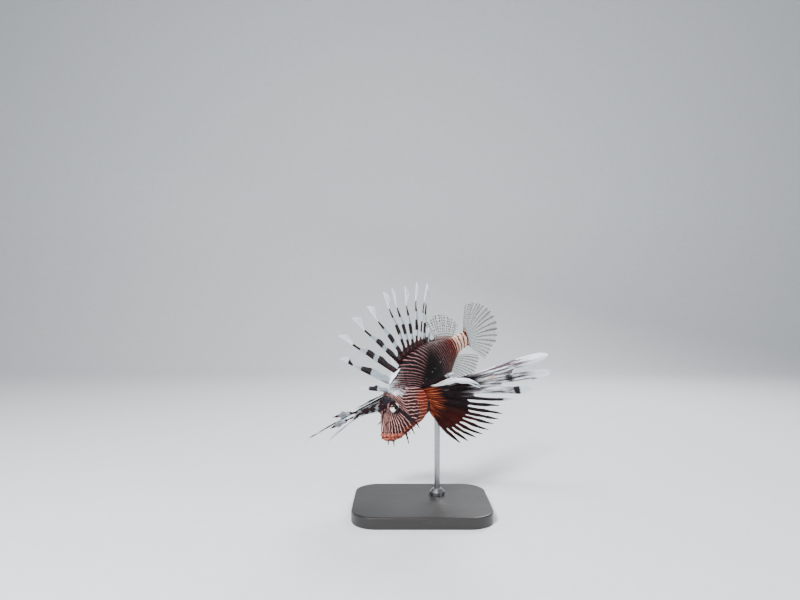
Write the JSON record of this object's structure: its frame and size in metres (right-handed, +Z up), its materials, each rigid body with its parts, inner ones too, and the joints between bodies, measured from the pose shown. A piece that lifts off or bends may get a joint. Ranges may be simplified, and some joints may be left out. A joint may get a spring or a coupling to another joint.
{
  "type": "red lionfish museum model",
  "caption": "Life-size still model of a red lionfish hovering head down with all its fins spread, on a flat base with one rod.",
  "frame": {"origin": "centre of the stand base's flat underside", "axes": "+Z up; +X to the right of the view that shows the fish's left side and face; the camera side is -Y"},
  "size_m": [0.335, 0.275, 0.3206],
  "materials": {
    "skin": "satin painted skin, dark maroon with thin pale bars",
    "eye": "polished dark eye with a pale star of patches",
    "tentacle": "soft grey-purple skin with dark bands",
    "banded_fin": "dark brown and white bands on rays and skin",
    "spotted_fin": "clear skin with rows of dark brown spots",
    "dark_fin": "near black fin skin with pale flecks",
    "stand_base": "dark stained wood, satin lacquer",
    "stand_steel": "brushed steel"
  },
  "bodies": {
    "root": {"head": "skin", "trunk": "skin", "tail_stalk": "skin", "eye_left": "eye", "eye_right": "eye", "tentacle_left": "tentacle", "tentacle_right": "tentacle", "dorsal_fin_spines": "banded_fin", "dorsal_fin_soft": "spotted_fin", "caudal_fin": "spotted_fin", "anal_fin": "spotted_fin", "pelvic_fin_left": "dark_fin", "pelvic_fin_right": "dark_fin", "pectoral_fin_left": "banded_fin", "pectoral_fin_right": "banded_fin", "stand_base": "stand_base", "stand_collar": "stand_steel", "stand_rod": "stand_steel"}
  },
  "joints": []
}
